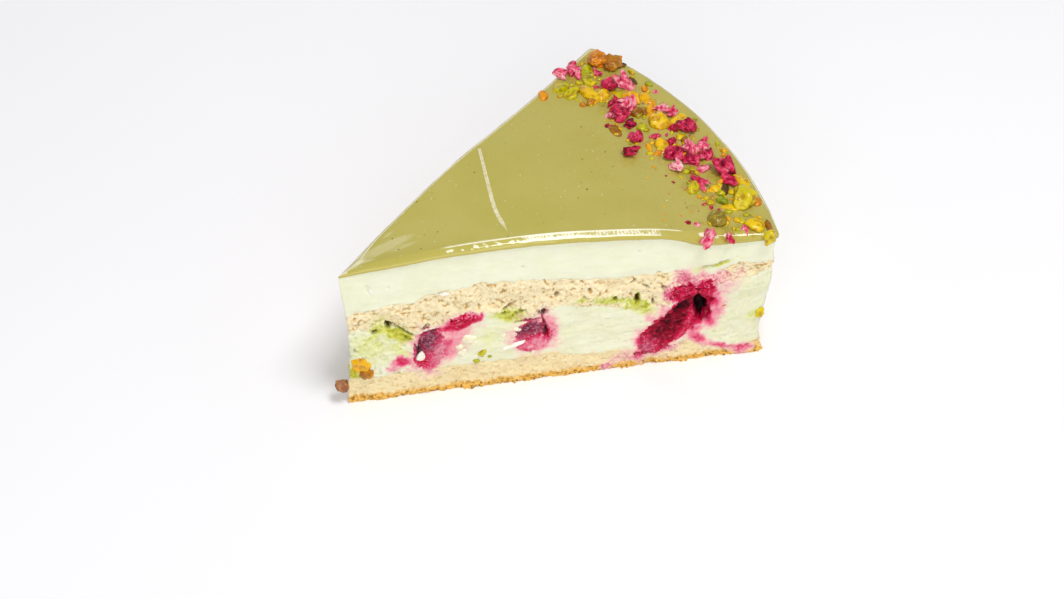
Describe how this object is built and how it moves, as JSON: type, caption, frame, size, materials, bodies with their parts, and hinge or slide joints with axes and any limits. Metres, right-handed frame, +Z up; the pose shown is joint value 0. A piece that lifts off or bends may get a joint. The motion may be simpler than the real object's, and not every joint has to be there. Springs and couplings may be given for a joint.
{
  "type": "pistachio raspberry mousse cake slice",
  "caption": "Wedge slice of layered mousse cake: sponge base, pale mousse with raspberries, crumbly sponge, cream and a glossy glaze with chopped toppings along its rim.",
  "frame": {"origin": "middle of the slice's bounding box in plan, on the flat underside of the base sponge", "axes": "+X from the tip towards the rim along the front cut face, +Y from the front cut face into the slice, +Z up"},
  "size_m": [0.1214, 0.0886, 0.0561],
  "materials": {
    "base_sponge": "fine dry crumb, browned underneath",
    "lower_mousse": "soft satin, faintly green and porous",
    "raspberry": "moist, dark crimson",
    "upper_sponge": "open torn crumb",
    "upper_mousse": "smooth satin",
    "glaze": "mirror gloss"
  },
  "bodies": {
    "root": {"base_sponge": "base_sponge", "lower_mousse": "lower_mousse", "raspberry_left": "raspberry", "raspberry_middle": "raspberry", "raspberry_right": "raspberry", "raspberry_back_inner": "raspberry", "raspberry_back_middle": "raspberry", "raspberry_back_outer": "raspberry", "upper_sponge": "upper_sponge", "upper_mousse": "upper_mousse", "glaze": "glaze"}
  },
  "joints": []
}
